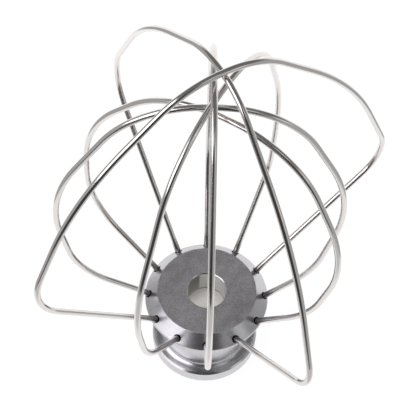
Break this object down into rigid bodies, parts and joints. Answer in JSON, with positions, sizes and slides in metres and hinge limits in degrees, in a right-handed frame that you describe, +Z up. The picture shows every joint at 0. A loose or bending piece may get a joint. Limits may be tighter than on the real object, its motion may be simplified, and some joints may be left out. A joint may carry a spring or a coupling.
{
  "type": "stand mixer wire whisk",
  "caption": "Stand mixer whisk: a cage of nested bent steel wire loops rising from a turned aluminium hub with a shaft bore and bayonet slot in its base.",
  "frame": {"origin": "on the hub's axis at the mouth of the drive bore, in the plane of the base face that the whisk stands on", "axes": "+Z up along the hub's axis towards the wires' crowns, +X over the straight slot of the drive bore and along one wire loop's plane"},
  "size_m": [0.1071, 0.1052, 0.1473],
  "materials": {
    "hub": "turned aluminium, satin on the cone and face and polished at the base rim",
    "wire": "polished stainless steel wire"
  },
  "bodies": {
    "root": {"hub": "hub", "wire_loop_1": "wire", "wire_loop_2": "wire", "wire_loop_3": "wire", "wire_loop_4": "wire", "wire_loop_5": "wire", "wire_loop_6": "wire"}
  },
  "joints": []
}
